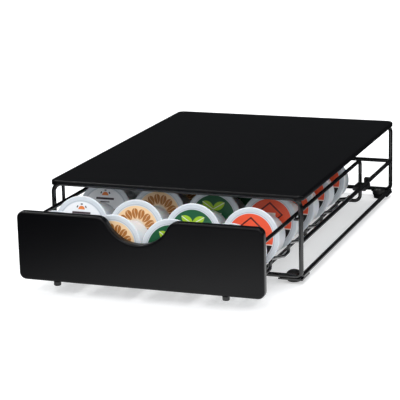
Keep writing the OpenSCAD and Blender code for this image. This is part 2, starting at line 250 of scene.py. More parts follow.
def bent_path(corners: np.ndarray, bends: Sequence[float],
              closed: bool = False) -> tuple[np.ndarray, np.ndarray]:
    """Rounds the corners of a path.

    At a corner between unit directions a and b, which turn by t, the arc's centre is
    corner - a r tan(t/2) + n r, where n is the part of b square to a, made a unit. The arc is
    centre - n r cos(s) + a r sin(s), and its direction a cos(s) + n sin(s), for s from 0 to t.

    Args:
        corners: Corner points, count by 3.
        bends: Bend radius at each corner; an open path's two ends have none.
        closed: Whether the last corner joins the first.

    Returns:
        The path's points, and its unit direction at each.
    """
    count = len(corners)
    points, ways = [], []
    turns = range(count) if closed else range(1, count - 1)
    if not closed:
        points.append(corners[:1])
        ways.append(unit(corners[1] - corners[0])[None])
    for i in turns:
        into = unit(corners[i] - corners[i - 1])
        out = unit(corners[(i + 1) % count] - corners[i])
        sweep = math.acos(float(np.clip(into @ out, -1, 1)))
        across = unit(out - (into @ out) * into)
        centre = corners[i] - into * bends[i] * math.tan(sweep / 2) + across * bends[i]
        s = np.linspace(0, sweep, max(3, round(BEND_STEPS * sweep / QUARTER) + 1))[:, None]
        points.append(centre - across * bends[i] * np.cos(s) + into * bends[i] * np.sin(s))
        ways.append(into * np.cos(s) + across * np.sin(s))
    if not closed:
        points.append(corners[-1:])
        ways.append(unit(corners[-1] - corners[-2])[None])
    return np.concatenate(points), np.concatenate(ways)


def unit(vector: np.ndarray) -> np.ndarray:
    """Scales a vector to length 1."""
    return vector / np.linalg.norm(vector)


def wire(corners: np.ndarray, bends: Sequence[float], radius: float, normal: np.ndarray,
         closed: bool = False) -> Skin:
    """Carries a circle along a flat path, with rounded ends.

    A point is path + radius (cos(v) normal + sin(v) way x normal). At an open end the first
    rows lie at e (1 - cos(w)) along the path with radius - e (1 - sin(w)), for w from 0 to a
    quarter turn, so that the cut end is eased by e.

    Args:
        corners: Corner points of the centre line, count by 3.
        bends: Bend radius at each corner.
        radius: Radius of the wire.
        normal: Unit normal of the plane that the path lies in.
        closed: Whether the wire is a closed loop.

    Returns:
        The wire's skin.
    """
    path, way = bent_path(corners, bends, closed)
    size = np.full(len(path), radius)
    if not closed:
        ease = 0.35 * radius
        w = np.linspace(0, QUARTER, 4)
        step = (ease * (1 - np.cos(w)))[:, None]
        worn = radius - ease * (1 - np.sin(w))
        tail = (path[-1] - way[-1] * step)[::-1]
        path = np.concatenate([path[0] + way[0] * step, path[1:-1], tail])
        size = np.concatenate([worn, size[1:-1], worn[::-1]])
        rows = len(w)
        way = np.concatenate([np.repeat(way[:1], rows, 0), way[1:-1], np.repeat(way[-1:], rows, 0)])
    v = np.linspace(0, 2 * math.pi, WIRE_SIDES, endpoint=False)[None, :, None]
    other = np.cross(way, normal)[:, None, :]
    ring = np.cos(v) * normal + np.sin(v) * other
    return Skin(path[:, None, :] + size[:, None, None] * ring, loop=closed)


def turned(profile: np.ndarray, centre: np.ndarray, axis: np.ndarray,
           sides: int = ROUND_SIDES) -> Skin:
    """Turns a profile round an axis that is square to X.

    A point is centre + height axis + radius (cos(v) X + sin(v) X x axis).

    Args:
        profile: Radius and height of each row, count by 2.
        centre: Point where the height is 0.
        axis: Unit direction in which the height grows.
        sides: Number of columns.

    Returns:
        The turned skin, with flat coordinates of radius times direction.
    """
    v = np.linspace(0, 2 * math.pi, sides, endpoint=False)
    ring = np.cos(v)[:, None] * X_AXIS + np.sin(v)[:, None] * np.cross(X_AXIS, axis)
    radius, height = profile[:, 0][:, None, None], profile[:, 1][:, None, None]
    flat = radius * np.stack([np.cos(v), np.sin(v)], axis=-1)[None]
    return Skin(centre + (height * axis + radius * ring[None]), uv=flat)


@dataclass(frozen=True)
class Arc:
    """A round stretch of an outline, drawn anticlockwise round the sheet.

    Attributes:
        centre: Centre of the arc.
        radius: Its radius.
        start: Angle of its first point, in degrees.
        end: Angle of its last point, in degrees.
        hollow: Whether the sheet lies outside the arc.
        steps: Number of steps from start to end; none gives a single point.
    """

    centre: tuple[float, float]
    radius: float
    start: float
    end: float
    hollow: bool = False
    steps: int = BEND_STEPS


class Outline:
    """Arcs joined by straight lines, which can be moved into the sheet as one."""

    def __init__(self, arcs: Sequence[Arc]) -> None:
        """Lays the arcs' points end to end.

        Args:
            arcs: The outline's arcs, anticlockwise.
        """
        spans = [np.radians(np.linspace(a.start, a.end, a.steps + 1)) for a in arcs]
        counts = [len(span) for span in spans]
        self.angle = np.concatenate(spans)
        self.centre = np.repeat([a.centre for a in arcs], counts, axis=0)
        self.radius = np.repeat([a.radius for a in arcs], counts)
        self.inward = np.repeat([1.0 if a.hollow else -1.0 for a in arcs], counts)

    def rings(self, inset: np.ndarray) -> np.ndarray:
        """Gives the outline moved into the sheet.

        A point is centre + (radius + inward inset) (cos(angle), sin(angle)), where inward is 1
        on a hollow and -1 on a corner.

        Args:
            inset: How far each row is moved in.

        Returns:
            Points, rows by columns by 2.
        """
        reach = self.radius[None] + self.inward[None] * inset[:, None]
        ways = np.stack([np.cos(self.angle), np.sin(self.angle)], axis=-1)
        return self.centre[None] + reach[..., None] * ways[None]


def pressed_sheet(outline: Outline, thick: float, bend: float, depth: float | np.ndarray,
                  origin: np.ndarray, axes: tuple[np.ndarray, np.ndarray, np.ndarray]) -> Skin:
    """Turns a flat sheet's edges back all round, on a bend of its own radius.

    Going round the profile, the inset and depth are (b (1 - sin(w)), b (1 - cos(w))) on the
    outer bend, (t/2 (1 - cos(w)), d + t/2 (sin(w) - 1)) round the cut edge, and the outer
    bend's formula with b - t, moved by t, on the inner bend.

    Args:
        outline: Outline of the outer face.
        thick: Thickness t of the sheet.
        bend: Outer bend radius b.
        depth: Depth d of the turned-back edge, for all columns or at each.
        origin: Point of the outer face that the outline is drawn from.
        axes: Unit directions of the outline's two coordinates and of the depth.

    Returns:
        The sheet's skin.
    """
    w = np.linspace(0, QUARTER, 6)
    edge = np.linspace(0, math.pi, 7)
    flat = 0.4 * bend
    inner = bend - thick
    outer_bend = np.stack([bend * (1 - np.sin(w)), bend * (1 - np.cos(w))], axis=-1)
    cut = thick / 2 * np.stack([1 - np.cos(edge), np.sin(edge) - 1], axis=-1)
    inner_bend = thick + inner * np.stack([1 - np.sin(w), 1 - np.cos(w)], axis=-1)[::-1]
    last = [[bend + flat, thick]]
    rows = np.concatenate([[[bend + flat, 0]], outer_bend, cut, inner_bend, last])
    bent = len(w) + 1
    reach = np.concatenate([np.zeros(bent), np.ones(len(edge)), np.zeros(bent)])
    ring = outline.rings(rows[:, 0])
    deep = rows[:, 1][:, None] + reach[:, None] * (np.zeros(ring.shape[1]) + depth)[None]
    return Skin(origin + ring[..., :1] * axes[0] + ring[..., 1:] * axes[1]
                + deep[..., None] * axes[2])


# Shader wiring


class Socket:
    """An output of a node, or a plain value, whose arithmetic adds Math nodes."""

    def __init__(self, wiring: Wiring, source: Number | bpy.types.NodeSocket) -> None:
        """Keeps the wiring that new nodes go into, and the output or value."""
        self.wiring = wiring
        self.source = source

    def math(self, operation: str, *others: Value) -> Socket:
        """Adds one Math node with this socket first."""
        inputs = dict(enumerate((self, *others)))
        return self.wiring.node("ShaderNodeMath", {"operation": operation}, inputs)

    def __add__(self, other: Value) -> Socket:
        """Adds a value or socket."""
        return self.math("ADD", other)

    __radd__ = __add__

    def __sub__(self, other: Value) -> Socket:
        """Takes a value or socket away."""
        return self.math("SUBTRACT", other)

    def __rsub__(self, other: Value) -> Socket:
        """Takes this socket away from a value."""
        return Socket(self.wiring, other).math("SUBTRACT", self)

    def __mul__(self, other: Value) -> Socket:
        """Multiplies by a value or socket."""
        return self.math("MULTIPLY", other)

    __rmul__ = __mul__

    def __truediv__(self, other: Value) -> Socket:
        """Divides by a value or socket."""
        return self.math("DIVIDE", other)

    def __pow__(self, other: Value) -> Socket:
        """Raises to a power."""
        return self.math("POWER", other)

    def __abs__(self) -> Socket:
        """Drops the sign."""
        return self.math("ABSOLUTE")

    def below(self, edge: Value, soft: float = SOFT) -> Socket:
        """Gives 1 where this is below an edge and 0 above it, with a soft step."""
        return ((edge - self) / soft + 0.5).math("MINIMUM", 1.0).math("MAXIMUM", 0.0)

    def above(self, edge: Value, soft: float = SOFT) -> Socket:
        """Gives 1 where this is above an edge and 0 below it, with a soft step."""
        return 1 - self.below(edge, soft)

    def near(self, middle: float, half: float, soft: float = SOFT) -> Socket:
        """Gives 1 up to half a width from a middle and 0 further off, with a soft step."""
        return abs(self - middle).below(half, soft)


Value = Union[Number, Socket]


class Wiring:
    """The nodes of one material or world."""

    def __init__(self, owner: bpy.types.Material | bpy.types.World) -> None:
        """Clears the owner's nodes.

        Args:
            owner: The material or world.
        """
        owner.use_nodes = True
        self.tree = owner.node_tree
        self.tree.nodes.clear()

    def node(self, kind: str, settings: dict[str, Any] | None = None,
             inputs: dict[int | str, Any] | None = None, output: int | str = 0) -> Socket:
        """Adds one node.

        Args:
            kind: The node's type.
            settings: Its properties, which are set first.
            inputs: Values or sockets for its inputs, by index or name.
            output: Index or name of the output that is used.

        Returns:
            That output.
        """
        node = self.tree.nodes.new(kind)
        for key, value in (settings or {}).items():
            setattr(node, key, value)
        for key, value in (inputs or {}).items():
            source = value.source if isinstance(value, Socket) else value
            if isinstance(source, bpy.types.NodeSocket):
                self.tree.links.new(source, node.inputs[key])
            else:
                node.inputs[key].default_value = source
        return Socket(self, node.outputs[output] if len(node.outputs) else 0.0)

    def place(self, output: str = "Object") -> Socket:
        """Gives the coordinates of a point of the piece."""
        return self.node("ShaderNodeTexCoord", output=output)

    def parts(self, vector: Socket) -> tuple[Socket, ...]:
        """Splits a vector into three numbers."""
        split = self.node("ShaderNodeSeparateXYZ", inputs={0: vector}).source.node
        return tuple(Socket(self, output) for output in split.outputs)

    def noise(self, scale: float, detail: float) -> Socket:
        """Gives soft noise from 0 to 1, with so many features to the metre."""
        inputs = {"Vector": self.place(), "Scale": scale, "Detail": detail}
        return self.node("ShaderNodeTexNoise", inputs=inputs)

    def mix(self, share: Value, first: Any, second: Any) -> Socket:
        """Mixes two colours, from the first at 0 to the second at 1."""
        inputs = {0: share, 6: rgba(first), 7: rgba(second)}
        return self.node("ShaderNodeMix", {"data_type": "RGBA"}, inputs, output=2)

    def bump(self, height: Socket, distance: float) -> Socket:
        """Turns a height from 0 to 1 into a normal, for a relief of that distance."""
        inputs = {"Strength": 1.0, "Distance": distance, "Height": height}
        return self.node("ShaderNodeBump", inputs=inputs)

    def surface(self, **inputs: Any) -> None:
        """Ends the wiring in a Principled surface.

        Args:
            **inputs: Its inputs by name, with an underscore for each space.
        """
        named = {key.replace("_", " "): rgba(value) for key, value in inputs.items()}
        shader = self.node("ShaderNodeBsdfPrincipled", inputs=named)
        self.node("ShaderNodeOutputMaterial", inputs={"Surface": shader})


def rgba(colour: Any) -> Any:
    """Gives a colour its opaque fourth number, and leaves anything else as it is."""
    return (*colour, 1.0) if isinstance(colour, tuple) and len(colour) == 3 else colour


def length(x: Socket, y: Socket) -> Socket:
    """Gives the length of a flat vector."""
    return (x * x + y * y) ** 0.5


def times(colour: Colour, factor: float) -> Colour:
    """Makes a colour lighter or darker."""
    return tuple(channel * factor for channel in colour)


# Finishes


@dataclass(frozen=True)
class Finish:
    """A finish of the object.

    Attributes:
        slot: The material slot that it stands for, which its material is named after.
    """

    slot: str

    def material(self) -> bpy.types.Material:
        """Gives the finish's material, made once.

        Returns:
            The material.
        """
        name = f"{self.slot}_finish"
        found = bpy.data.materials.get(name)
        if found is None:
            found = bpy.data.materials.new(name)
            self.wire_up(Wiring(found))
        return found

    def wire_up(self, wiring: Wiring) -> None:
        """Fills the material's nodes."""
        raise NotImplementedError


@dataclass(frozen=True)
class PowderCoat(Finish):
    """Black powder coat on steel: fine orange peel, a slow drift of gloss, and faint dust.

    Attributes:
        colour: Colour of the coat.
        roughness: Middle roughness.
        gloss: Specular level.
        peel: Height of the orange peel, in metres.
        pale: How many times lighter the palest places are.
        drift_pale: Share of that which comes from the slow drift.
        dust_pale: Share which comes from dust.
        drift_rough: How far the slow drift changes the roughness.
        peel_rough: How far the fine peel changes it.
    """

    colour: Colour
    roughness: float
    gloss: float
    peel: float = 0.012 * MM
    pale: float = 1.9
    drift_pale: float = 0.5
    dust_pale: float = 0.25
    drift_rough: float = 0.16
    peel_rough: float = 0.06

    def wire_up(self, wiring: Wiring) -> None:
        """Mixes two scales of orange peel, a slow change of roughness, and pale specks.

        Args:
            wiring: The material's nodes.
        """
        fine = wiring.noise(scale=1400, detail=2)
        broad = wiring.noise(scale=260, detail=2)
        drift = wiring.noise(scale=18, detail=3)
        dust = wiring.noise(scale=900, detail=1).above(0.73, soft=0.05)
        share = drift * self.drift_pale + dust * self.dust_pale
        colour = wiring.mix(share, self.colour, times(self.colour, self.pale))
        uneven = (drift - 0.5) * self.drift_rough
        roughness = self.roughness + uneven + (fine - 0.5) * self.peel_rough
        normal = wiring.bump(fine * 0.35 + broad * 0.65, self.peel)
        wiring.surface(Base_Color=colour, Roughness=roughness, Specular_IOR_Level=self.gloss,
                       Normal=normal)


@dataclass(frozen=True)
class Moulding(Finish):
    """Moulded rubber or plastic: a fine satin grain, and soft changes of tone.

    Attributes:
        colour: Colour of the moulding.
        roughness: Middle roughness.
        grain: Height of the grain, in metres.
        depth: How far light goes into it, in metres.
        translucence: Share of the light that does, where any does.
        shade: How many times as light the darkest places could be.
        drift_shade: Share of that which the slow drift reaches.
        drift_rough: How far the slow drift changes the roughness.
    """

    colour: Colour
    roughness: float
    grain: float = 0.01 * MM
    depth: float = 0.0
    translucence: float = 0.15
    shade: float = 0.9
    drift_shade: float = 0.6
    drift_rough: float = 0.12

    def wire_up(self, wiring: Wiring) -> None:
        """Grains the surface and lets its tone drift by a few parts in a hundred.

        Args:
            wiring: The material's nodes.
        """
        grain = wiring.noise(scale=2600, detail=2)
        drift = wiring.noise(scale=60, detail=3)
        share = drift.above(0.5, soft=0.5) * self.drift_shade
        colour = wiring.mix(share, self.colour, times(self.colour, self.shade))
        roughness = self.roughness + (drift - 0.5) * self.drift_rough
        normal = wiring.bump(grain, self.grain)
        wiring.surface(Base_Color=colour, Roughness=roughness, Normal=normal,
                       Subsurface_Weight=self.translucence if self.depth else 0.0,
                       Subsurface_Scale=self.depth)


@dataclass(frozen=True)
class PrintedFoil(Finish):
    """A heat-sealed foil lid with a round print, whose figure is drawn in flat coordinates.

    Attributes:
        motif: Figure of the print.
        ground: Colour of the print's ground.
        ink: First colour of the figure.
        accent: Second colour of the figure.
        dull_foil: Colour of the bare foil where it is dull.
        bright_foil: Colour of the bare foil where it is bright.
        groove_shade: Colour of the painted shade in the groove.
        groove_share: Strength of that painted shade.
        print_r: Radius of the print.
        groove_r: Radius of the painted shade in the groove at the seal's inner edge.
        seal_r: Inner radius of the raised seal.
        crimp_r: Outer radius of the seal's crimps.
        crimps: Number of crimps.
        relief: Height of a full relief, in metres.
        crimp_relief: Share of it in a crimp.
        crease_relief: Share of it in a crease.
        seal_relief: Share of it in the seal.
        roughness: Middle roughness.
        blot_rough: How far the foil's blots change the roughness.
        gloss: Specular level.
    """

    motif: Motif
    ground: Colour
    ink: Colour
    accent: Colour
    dull_foil: Colour = (0.66, 0.71, 0.76)
    bright_foil: Colour = (0.78, 0.82, 0.86)
    # Painted shade: colour of the darker ring painted in the groove at the seal's inner edge
    groove_shade: Colour = (0.36, 0.4, 0.45)
    groove_share: float = 0.6
    print_r: float = 20.2 * MM
    groove_r: float = 21.2 * MM
    seal_r: float = 20.9 * MM
    crimp_r: float = 24.3 * MM
    crimps: int = 90
    relief: float = 0.12 * MM
    crimp_relief: float = 0.12
    crease_relief: float = 0.35
    seal_relief: float = 0.5
    roughness: float = 0.34
    blot_rough: float = 0.12
    gloss: float = 0.45

    def wire_up(self, wiring: Wiring) -> None:
        """Draws the print, the bare foil rim, a painted shade in its groove, its sealing ring and
        its creases.

        Args:
            wiring: The material's nodes.
        """
        draw = {Motif.SUNRISE: self.sunrise, Motif.BEANS: self.beans,
                Motif.LEAVES: self.leaves, Motif.KITE: self.kite}[self.motif]
        x, y, _ = wiring.parts(wiring.place("UV"))
        r = length(x, y)
        angle = y.math("ARCTAN2", x)
        blot = wiring.noise(scale=70, detail=3)
        bare = wiring.mix(blot, self.dull_foil, self.bright_foil)
        colour = wiring.mix(r.below(self.print_r, soft=0.25 * MM), bare, draw(wiring, x, y))
        # Painted shade: a darker ring mixed into the colour where the groove at the seal's inner
        # edge lies in shade
        groove = r.near(self.groove_r, half=0.3 * MM) * self.groove_share
        colour = wiring.mix(groove, colour, self.groove_shade)
        crimped = r.above(self.groove_r, soft=0.5 * MM) * r.below(self.crimp_r, soft=0.5 * MM)
        crimps = (angle * self.crimps).math("SINE") * crimped
        creases = wiring.noise(scale=160, detail=3) * r.below(20 * MM, soft=6 * MM)
        seal = r.above(self.seal_r, soft=0.5 * MM)
        height = (crimps * self.crimp_relief + creases * self.crease_relief
                  + seal * self.seal_relief)
        roughness = self.roughness + (blot - 0.5) * self.blot_rough
        wiring.surface(Base_Color=colour, Roughness=roughness, Specular_IOR_Level=self.gloss,
                       Normal=wiring.bump(height, self.relief))

    def sunrise(self, wiring: Wiring, x: Socket, y: Socket) -> Socket:
        """Draws a half sun with three rays over a long and a short level bar.

        Args:
            wiring: The material's nodes.
            x: Place across the lid.
            y: Place up the lid.

        Returns:
            The colour of the print.
        """
        horizon, sun_r, ray_r, rays = 13.8 * MM, 3.1 * MM, 4.6 * MM, 3
        up = y - horizon
        away = length(x, up)
        over = up.above(0)
        turn = up.math("ARCTAN2", x) * (rays / math.pi)
        ray = abs(turn - turn.math("FLOOR") - 0.5).below(0.2, soft=0.08)
        halo = ray * away.near(ray_r, half=0.55 * MM, soft=0.25 * MM) * over
        long_bar = y.near(10.9 * MM, half=0.9 * MM) * abs(x).below(8.6 * MM)
        short_bar = y.near(8.0 * MM, half=0.45 * MM) * abs(x).below(4.4 * MM)
        inked = (long_bar + short_bar + halo).math("MINIMUM", 1.0)
        colour = wiring.mix(away.below(sun_r) * over, self.ground, self.accent)
        return wiring.mix(inked, colour, self.ink)

    def beans(self, wiring: Wiring, x: Socket, y: Socket) -> Socket:
        """Draws a ring of roasted beans on a warm band round a pale middle.

        The band is cut into equal sectors. In one, t is the angle from its middle times the
        band's radius, and a bean is the ellipse (t/a)^2 + ((r - radius)/b)^2 < 1, parted by
        the wave of its crease.

        Args:
            wiring: The material's nodes.
            x: Place across the lid.
            y: Place up the lid.

        Returns:
            The colour of the print.
        """
        sectors, band_r, pale_r = 15, 13.6 * MM, 8.2 * MM
        half_width, half_length = 2.7 * MM, 4.5 * MM
        wave_turn, wave_height, crease_share = 700, 0.45 * MM, 0.8
        r = length(x, y)
        turn = y.math("ARCTAN2", x) * (sectors / (2 * math.pi)) + 0.5
        t = (turn - turn.math("FLOOR") - 0.5) * (2 * math.pi / sectors * band_r)
        off = r - band_r
        bean = ((t / half_width) ** 2 + (off / half_length) ** 2).below(1, soft=0.12)
        wave = (off * wave_turn).math("SINE") * wave_height
        crease = abs(t - wave).below(0.3 * MM, soft=0.25 * MM)
        roast = wiring.mix(wiring.noise(scale=500, detail=2), self.ink, times(self.ink, 1.6))
        warm = r.above(pale_r, soft=3 * MM)
        colour = wiring.mix(warm, (0.9, 0.9, 0.88), self.ground)
        colour = wiring.mix(bean, colour, roast)
        return wiring.mix(bean * crease * crease_share, colour, self.accent)

    def leaves(self, wiring: Wiring, x: Socket, y: Socket) -> Socket:
        """Draws two leaves, each the space where two circles overlap, over a pale line.

        Args:
            wiring: The material's nodes.
            x: Place across the lid.
            y: Place up the lid.

        Returns:
            The colour of the print.
        """
        stem, slant, out = 8.0 * MM, 0.55, 5.8 * MM
        circle_r, half_gap = 7.4 * MM, 4.0 * MM
        up = y - stem
        colour: Any = self.ground
        for lean in (-slant, slant):
            along = x * math.cos(lean) + up * math.sin(lean) - math.copysign(out, lean)
            over = up * math.cos(lean) - x * math.sin(lean)
            far = length(along, over - half_gap).math("MAXIMUM", length(along, over + half_gap))
            leaf = far.below(circle_r, soft=0.35 * MM)
            vein = abs(over).below(0.3 * MM, soft=0.2 * MM)
            colour = wiring.mix(leaf, colour, self.accent)
            colour = wiring.mix(leaf * vein, colour, self.ink)
        line = y.near(4.4 * MM, half=0.6 * MM) * abs(x).below(8 * MM)
        return wiring.mix(line, colour, self.ink)

    def kite(self, wiring: Wiring, x: Socket, y: Socket) -> Socket:
        """Draws an upright kite in outline with a bar inside, over a dark foot with a pale line.

        Args:
            wiring: The material's nodes.
            x: Place across the lid.
            y: Place up the lid.

        Returns:
            The colour of the print.
        """
        middle, half_height, steepness = 7.0 * MM, 9.8 * MM, 0.85
        foot_y, line_y = -5.2 * MM, -4.8 * MM
        spread = abs(x) * steepness + abs(y - middle)
        outline = spread.near(half_height, half=0.85 * MM)
        bar = y.near(middle, half=1.4 * MM) * abs(x).below(5.6 * MM)
        line = y.near(line_y, half=0.4 * MM, soft=0.25 * MM)
        colour = wiring.mix(outline, self.ground, self.ink)
        colour = wiring.mix(bar, colour, self.accent)
        colour = wiring.mix(y.below(foot_y), colour, (0.008, 0.008, 0.009))
        return wiring.mix(line, colour, self.accent)


SHEET_COAT = PowderCoat("sheet_black", (0.0016, 0.0016, 0.0022), roughness=0.32, gloss=0.2)
WIRE_COAT = PowderCoat("wire_black", (0.0025, 0.0025, 0.003), roughness=0.15, gloss=0.7)
RUBBER = Moulding("rubber_black", (0.006, 0.006, 0.0065), roughness=0.4)
NYLON = Moulding("nylon_black", (0.009, 0.009, 0.01), roughness=0.42)
CUP_PLASTIC = Moulding("cup_white", (0.82, 0.85, 0.88), roughness=0.3, grain=0.004 * MM,
                       depth=1.0 * MM)
LIDS = {
    "a": PrintedFoil("lid_white", Motif.SUNRISE, ground=(0.93, 0.94, 0.96),
                     ink=(0.05, 0.028, 0.035), accent=(0.85, 0.24, 0.05)),
    "b": PrintedFoil("lid_cream", Motif.BEANS, ground=(0.95, 0.66, 0.38),
                     ink=(0.36, 0.13, 0.025), accent=(0.9, 0.62, 0.36)),
    "c": PrintedFoil("lid_green", Motif.LEAVES, ground=(0.008, 0.11, 0.04),
                     ink=(0.85, 0.86, 0.74), accent=(0.38, 0.62, 0.02)),
    "d": PrintedFoil("lid_orange", Motif.KITE, ground=(0.9, 0.1, 0.035),
                     ink=(0.09, 0.006, 0.006), accent=(0.9, 0.84, 0.76)),
}


# Sub-assemblies


class Box:
    """The box of one of the frame's nodes."""

    def __init__(self, node: str) -> None:
        """Reads the node's lowest and highest corners.

        Args:
            node: The node's name.
        """
        low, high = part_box(node)
        self.low = np.array(low)
        self.high = np.array(high)
        self.middle = (self.low + self.high) / 2
        self.size = self.high - self.low


def row_pitch() -> float:
    """Gives the distance between two rows of pods, which is that between two crosswires."""
    return Box("floor_crosswire_3").middle[1] - Box("floor_crosswire_2").middle[1]


def rounded(start: float, sign: float, radius: float, steps: int) -> np.ndarray:
    """Draws a quarter round of a turned profile, from its flat face to its side.

    A row is (e (sin(w) - 1), start + sign e (1 - cos(w))), for w from 0 to a quarter turn,
    where e is the round's radius.

    Args:
        start: Height of the flat face.
        sign: 1 where the side lies above the face, -1 where it lies below.
        radius: Radius e of the round.
        steps: Number of rows.

    Returns:
        How far each row lies from the side, at most 0, and its height.
    """
    w = np.linspace(0, QUARTER, steps)
    return np.stack([radius * (np.sin(w) - 1), start + sign * radius * (1 - np.cos(w))], axis=-1)


@dataclass
class Assembly:
    """A group of pieces that move with one body.

    Attributes:
        body: Name of the body.
    """

    body: str

    def seat(self, piece: bpy.types.Object, node: str) -> None:
        """Makes a piece move with the body and stand for one of the frame's nodes."""
        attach(piece, self.body)
        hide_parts(node)

    def add(self, name: str, node: str, skins: Sequence[Skin], finish: Finish) -> None:
        """Builds a piece that stands for a node."""
        self.seat(build_piece(name, skins, finish), node)

    def add_wire(self, node: str, corners: Sequence[Any], bends: Sequence[float], radius: float,
                 normal: np.ndarray, closed: bool = False) -> None:
        """Bends a coated wire that stands for a node.

        Args:
            node: The node's name.
            corners: Corner points of the centre line.
            bends: Bend radius at each corner.
            radius: Radius of the wire.
            normal: Unit normal of the plane that the wire lies in.
            closed: Whether the wire is a closed loop.
        """
        skin = wire(np.array(corners), bends, radius, normal, closed)
        self.add(f"{node}_wire", node, [skin], WIRE_COAT)

    def add_straight_wire(self, node: str, along: np.ndarray) -> None:
        """Lays a straight coated wire through a node's box.

        Args:
            node: The node's name.
            along: Unit direction of the wire.
        """
        box = Box(node)
        reach = along * (box.size @ along) / 2
        ends = [box.middle - reach, box.middle + reach]
        self.add_wire(node, ends, (0, 0), min(box.size) / 2, Z_AXIS)


@dataclass
class WireFrame(Assembly):
    """The fixed frame: two loops, rails, crosswire, hangers, gussets, feet and the top plate.

    Attributes:
        top_bend: Bend radius at the loops' top corners.
        bottom_bend: Bend radius at the loops' bottom corners.
        hanger_bend: Bend radius of the hangers.
        plate_thick: Thickness of the plate's sheet.
        plate_bend: Outer radius of the plate's turned-down edges.
        plate_corner: Corner radius of the plate, seen from above.
        side_lip: Depth of the edges at the sides and corners.
        end_lip: Depth of the edges at the front and rear.
        lip_step: Distance over which the edge's depth changes beside a corner.
        gusset_ease: Width of the bevel on the gussets' edges.
        foot_d: Diameter of a foot's disc.
        foot_ease: Radius at the disc's edges.
        neck_d: Diameter of a foot's neck.
        hole_d: Diameter of the hollow under a foot, at its mouth.
        hole_depth: Depth of that hollow.
    """

    body: str = "frame"
    top_bend: float = 8 * MM
    bottom_bend: float = 5 * MM
    hanger_bend: float = 2.5 * MM
    plate_thick: float = 1.2 * MM
    plate_bend: float = 1.7 * MM
    plate_corner: float = 7 * MM
    side_lip: float = 4.6 * MM
    end_lip: float = 2.4 * MM
    lip_step: float = 1.5 * MM
    gusset_ease: float = 0.3 * MM
    foot_d: float = 11.5 * MM
    foot_ease: float = 0.6 * MM
    neck_d: float = 6 * MM
    hole_d: float = 6 * MM
    hole_depth: float = 0.25 * MM

    def build(self, nodes: dict[str, bpy.types.Object]) -> None:
        """Makes every piece of the frame.

        Args:
            nodes: The frame's own nodes, by name.
        """
        for end in End:
            self.loop(end)
        for side in Side:
            for rail in ("bottom_rail", "slide_rail"):
                self.add_straight_wire(f"{rail}_{side.value}", Y_AXIS)
            self.hanger(side)
            for end in End:
                self.corner(end, side, nodes)
        self.add_straight_wire("rear_crosswire", X_AXIS)
        self.plate()

    def loop(self, end: End) -> None:
        """Bends one loop, through the corners of its node's box less the wire's radius.

        Args:
            end: End of the frame that the loop stands at.
        """
        node = f"{end.value}_loop"
        box = Box(node)
        radius = box.size[1] / 2
        (left, _, low), (right, _, high) = box.low + radius, box.high - radius
        y = box.middle[1]
        corners = [[right, y, low], [right, y, high], [left, y, high], [left, y, low]]
        bends = (self.bottom_bend, self.top_bend, self.top_bend, self.bottom_bend)
        self.add_wire(node, corners, bends, radius, Y_AXIS, closed=True)

    def hanger(self, side: Side) -> None:
        """Bends a hanger: straight down from the plate, then in under the drawer's top rail.

        Args:
            side: Side of the frame that it hangs at.
        """
        node = f"rail_hanger_{side.value}"
        box = Box(node)
        radius = box.size[1] / 2
        outer, inner = box.high[0] - radius, box.low[0]
        if side is Side.LEFT:
            outer, inner = box.low[0] + radius, box.high[0]
        y, z = box.middle[1], box.low[2] + radius
        corners = [[outer, y, box.high[2]], [outer, y, z], [inner, y, z]]
        self.add_wire(node, corners, (0, self.hanger_bend, 0), radius, Y_AXIS)

    def corner(self, end: End, side: Side, nodes: dict[str, bpy.types.Object]) -> None:
        """Makes a corner's gusset and its rubber foot, whose profile is turned.

        The dome's rows are (d sin(w), h cos(w)) over the gusset, where d is the dome's radius,
        h its height, and w runs from nearly 0 to a quarter turn.

        Args:
            end: End of the frame.
            side: Side of the frame.
            nodes: The frame's own nodes, by name.
        """
        place = f"{end.value}_{side.value}"
        gusset, foot = f"gusset_{place}", f"rubber_foot_{place}"
        plate = eased_copy(f"{gusset}_plate", nodes[gusset], self.gusset_ease, WIRE_COAT)
        self.seat(plate, gusset)
        sheet, box = Box(gusset), Box(foot)
        disc_r, neck_r, dome_r = self.foot_d / 2, self.neck_d / 2, box.size[0] / 2
        under, over = sheet.low[2] - PUSH_GAP, sheet.high[2] + PUSH_GAP
        sole = rounded(0, 1, self.foot_ease, 5) + [disc_r, 0]
        shelf = rounded(under, -1, self.foot_ease, 5)[::-1] + [disc_r, 0]
        w = np.linspace(0.06, 1, 12) * QUARTER
        height = box.high[2] - over
        dome = np.stack([dome_r * np.sin(w), over + height * np.cos(w)], axis=-1)
        hole = [[2 * MM, self.hole_depth], [self.hole_d / 2, 0]]
        neck = [[neck_r, under], [neck_r, over], [dome_r - 0.25 * MM, over]]
        profile = np.concatenate([hole, sole, shelf, neck, dome[::-1]])
        centre = box.middle * [1, 1, 0]
        self.add(f"{foot}_mould", foot, [turned(profile, centre, Z_AXIS)], RUBBER)

    def plate(self) -> None:
        """Presses the top plate, whose edges are deeper at the sides than at the ends."""
        box = Box("top_plate")
        r, step = self.plate_corner, self.lip_step
        w, h = box.size[0] / 2 - r, box.size[1] / 2 - r
        arcs = []
        for start, (sx, sy) in zip((180, 270, 0, 90), ((-1, -1), (1, -1), (1, 1), (-1, 1))):
            edge = Arc((sx * (w - step), sy * h), r, 90 * sy, 90 * sy, steps=0)
            turn = Arc((sx * w, sy * h), r, start, start + 90)
            arcs += [edge, turn] if sx * sy < 0 else [turn, edge]
        outline = Outline(arcs)
        at_ends = np.abs(outline.centre[:, 0]) < w - step / 2
        depth = np.where(at_ends, self.end_lip, self.side_lip)
        origin = np.array([box.middle[0], box.middle[1], box.high[2]])
        skin = pressed_sheet(outline, self.plate_thick, self.plate_bend, depth, origin,
                             (X_AXIS, Y_AXIS, -Z_AXIS))
        self.add("plate_sheet", "top_plate", [skin], SHEET_COAT)


